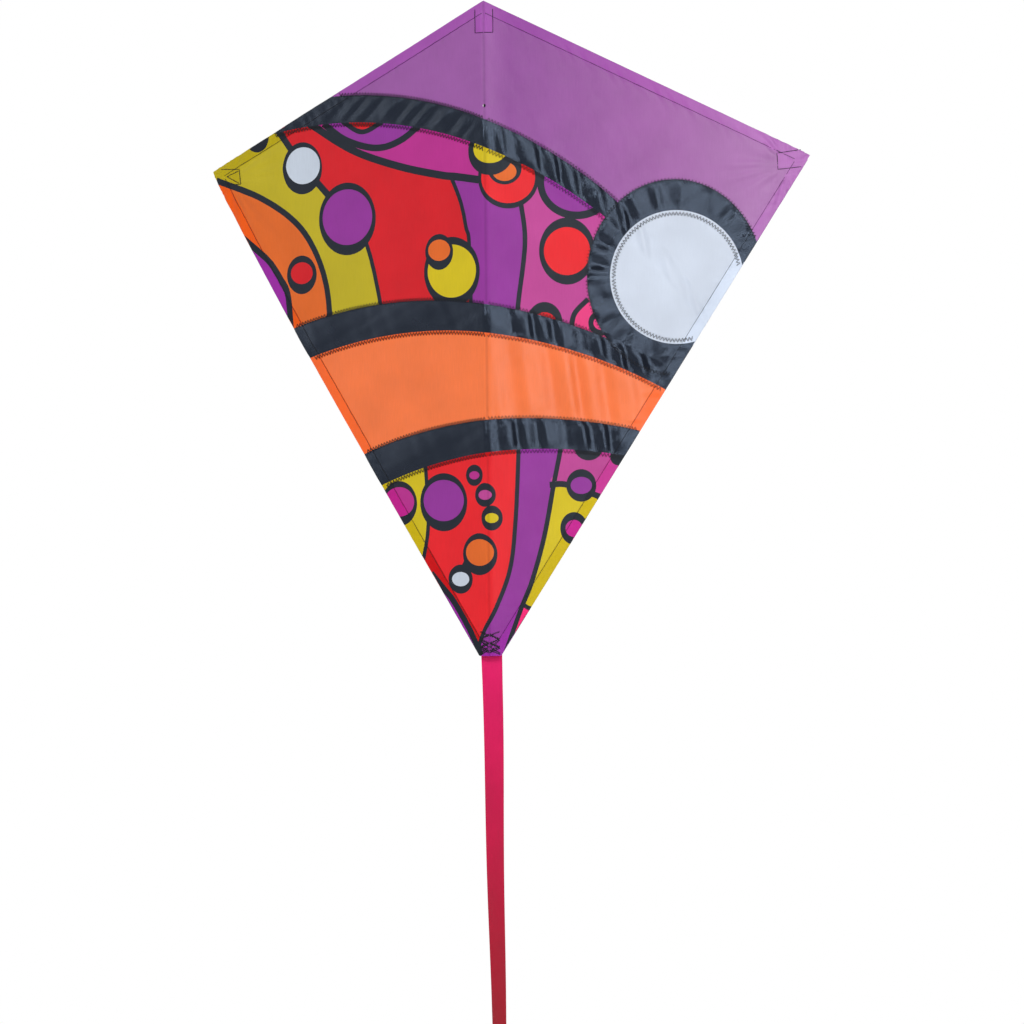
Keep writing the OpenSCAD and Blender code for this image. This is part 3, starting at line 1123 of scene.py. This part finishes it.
def cloth_material(name, rough, pitch, specular=0.4, sheen=0.2, crumple=0.3, streak=0.03,
                   gloss=(1, 1, 1), rod=0.18):
    """Woven cloth coloured by the dye attribute. rod is the depth of the painted shadow of the spine
    rod, a darker line on the crease.
    """
    material, tree, shader = nodes_of(name)
    dye = node(tree, "ShaderNodeAttribute", attribute_name="dye").outputs["Color"]
    flat = node(tree, "ShaderNodeAttribute", attribute_name="flat").outputs["Vector"]
    shade = ranged(tree, weave(tree, flat, pitch), 0.97, 1.03, (-1, 1))
    for part in (ranged(tree, noise(tree, flat, 0.018), 0.95, 1.05),
                 ranged(tree, noise(tree, flat, 0.9, 3, (1, 0.06, 1)), 1 - streak, 1 + streak),
                 painted_rod_shadow(tree, flat, rod)):
        shade = maths(tree, "MULTIPLY", shade, part)
    tint = node(tree, "ShaderNodeVectorMath", operation="SCALE", Vector=dye, Scale=shade)
    coarse = node(tree, "ShaderNodeBump", Height=noise(tree, flat, 0.11, 5, (1, 0.7, 1)),
                  Strength=crumple, Distance=0.0012)
    fine = node(tree, "ShaderNodeBump", Height=weave(tree, flat, pitch), Normal=coarse.outputs[0],
                Strength=0.25, Distance=0.00012)
    gloss_map = ranged(tree, noise(tree, flat, 0.05), rough - 0.05, rough + 0.06)
    adjust(tree, shader, Base_Color=tint.outputs[0], Roughness=gloss_map, Normal=fine.outputs[0],
           Specular_IOR_Level=specular, Specular_Tint=(*gloss, 1), Sheen_Weight=sheen,
           Sheen_Roughness=0.4)
    return material


def hard_material(name, rgb, rough, grain, stretch, bump=0.2, specular=0.5):
    """Plain or fibrous plastic, with faint variation in colour and gloss."""
    material, tree, shader = nodes_of(name)
    place = node(tree, "ShaderNodeTexCoord").outputs["Object"]
    pattern = noise(tree, place, grain, 4, stretch)
    tint = node(tree, "ShaderNodeMix", data_type="RGBA")
    tree.links.new(ranged(tree, pattern, 0, 1), tint.inputs[0])
    for slot, share in ((6, 0.75), (7, 1.3)):
        tint.inputs[slot].default_value = (*(linear(rgb) * share), 1)
    relief = node(tree, "ShaderNodeBump", Height=pattern, Strength=bump, Distance=0.0001)
    adjust(tree, shader, Base_Color=tint.outputs[2], Normal=relief.outputs[0],
           Roughness=ranged(tree, pattern, rough - 0.06, rough + 0.08), Specular_IOR_Level=specular)
    return material


def build_materials():
    return {
        "purple_cloth": cloth_material("purple nylon", 0.42, 0.62, 0.4, 0.1, 0.35),
        "printed_cloth": cloth_material("printed polyester", 0.45, 0.6, 0.2, 0.05, 0.25),
        "satin_band": cloth_material("dark satin", 0.22, 0.45, 0.85, 0.02, 0.15, 0.05,
                                     gloss=(0.57, 0.73, 1)),
        "orange_cloth": cloth_material("orange nylon", 0.34, 0.62, 0.42, 0.05, 0.3),
        "white_cloth": cloth_material("white nylon", 0.55, 0.62, 0.35, 0.1, 0.2, 0.015),
        "hem_cloth": cloth_material("hem cloth", 0.45, 0.62, 0.3, 0.1, 0.3),
        "pocket_cloth": cloth_material("pocket cloth", 0.6, 0.7, 0.35, 0.2, 0.3, rod=0),
        "ribbon": cloth_material("tail ribbon", 0.45, 0.8, 0.25, 0.1, 0.2, rod=0),
        "thread": hard_material("polyester thread", (14, 14, 22), 0.6, 900, (1, 1, 1), 0.4, 0.4),
        "rod": hard_material("fibreglass rod", (38, 40, 46), 0.5, 700, (1, 1, 0.03), 0.3),
        "spar": hard_material("fibreglass spar", (38, 40, 46), 0.35, 700, (0.03, 0.3, 1), 0.3),
        "vinyl": hard_material("black vinyl", (24, 25, 28), 0.5, 260, (1, 1, 1), 0.35, 0.4),
    }


def dress_frame(materials):
    """Gives the rods, caps and connector their materials, by the last word of their names."""
    looks = {"rod": "rod", "spar": "spar", "cap": "vinyl", "barrel": "vinyl", "arm": "vinyl"}
    for name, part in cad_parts.items():
        look = looks.get(name.split("_")[-1])
        if look:
            part.data.materials.clear()
            part.data.materials.append(materials[look])


# ---- Stage, light and camera ----


def build_stage():
    """A pale floor below the ribbon's end."""
    material, tree, shader = nodes_of("floor")
    adjust(tree, shader, Base_Color=(0.8, 0.8, 0.8, 1), Roughness=0.9, Specular_IOR_Level=0.1)
    z = cad_box[0].z - 0.12
    corners = [(-1.6, -1.8, z), (1.6, -1.8, z), (1.6, 0.9, z), (-1.6, 0.9, z)]
    new_object("floor", corners, [(0, 1, 2, 3)], material, smooth=False)


def area_light(name, at, size, power):
    """A light that faces the middle of the kite."""
    data = bpy.data.lights.new(name, "AREA")
    data.shape = "RECTANGLE"
    data.size, data.size_y = size
    data.energy = power
    obj = bpy.data.objects.new(name, data)
    bpy.context.scene.collection.objects.link(obj)
    obj.location = at
    middle = Vector((0, 0, -0.25))
    obj.rotation_euler = (middle - Vector(at)).to_track_quat("-Z", "Y").to_euler()


def build_light():
    """A white backdrop, soft light from all round, weaker from the right, and four area lights."""
    world = bpy.data.worlds.new("studio")
    bpy.context.scene.world = world
    world.use_nodes = True
    tree = world.node_tree
    rightwards = along_axis(tree, node(tree, "ShaderNodeTexCoord").outputs["Generated"], "X")
    soft = adjust(tree, tree.nodes["Background"], Color=(1, 1, 1, 1),
                  Strength=ranged(tree, rightwards, 0.42, 0.2, (-0.7, 0.3)))
    backdrop = node(tree, "ShaderNodeBackground", Color=(1, 1, 1, 1), Strength=1.0)
    rays = node(tree, "ShaderNodeLightPath")
    mix = node(tree, "ShaderNodeMixShader", Fac=rays.outputs["Is Camera Ray"])
    tree.links.new(soft.outputs[0], mix.inputs[1])
    tree.links.new(backdrop.outputs[0], mix.inputs[2])
    adjust(tree, tree.nodes["World Output"], Surface=mix.outputs[0])
    area_light("key", (-0.5, -2.6, 1.5), (0.7, 0.7), 31)
    area_light("right strip", (1.85, -2.3, 0.2), (1.1, 2.2), 48)
    area_light("left strip", (-2.7, -0.45, 0.3), (0.8, 1.8), 8)
    area_light("back key", (1.2, 2.4, 1.2), (1.0, 1.0), 45)


def build_camera():
    """The camera looks level from slightly right of the kite's front."""
    azimuth, roll = math.radians(13.43), math.radians(-0.56)
    target, distance, view_width = (0.0270, 0.0065, -0.4732), 5.160, 1.19125
    data = bpy.data.cameras.new("camera")
    data.lens = data.sensor_width * distance / view_width
    data.clip_end = 50
    camera = bpy.data.objects.new("camera", data)
    bpy.context.scene.collection.objects.link(camera)
    turned = Matrix.Rotation(azimuth, 4, "Z") @ Matrix.Rotation(math.pi / 2, 4, "X")
    placed = Matrix.Translation(target) @ turned @ Matrix.Rotation(roll, 4, "Z")
    camera.matrix_world = placed @ Matrix.Translation((0, 0, distance))
    bpy.context.scene.camera = camera


def build():
    build_camera()
    build_light()
    build_stage()
    materials = build_materials()
    dress_frame(materials)
    build_sail(materials)
    build_hems(materials["hem_cloth"])
    build_pockets(materials["pocket_cloth"])
    build_thread(materials["thread"])
    build_ribbon(materials["ribbon"])
    bpy.context.scene.view_settings.view_transform = "Standard"


build()
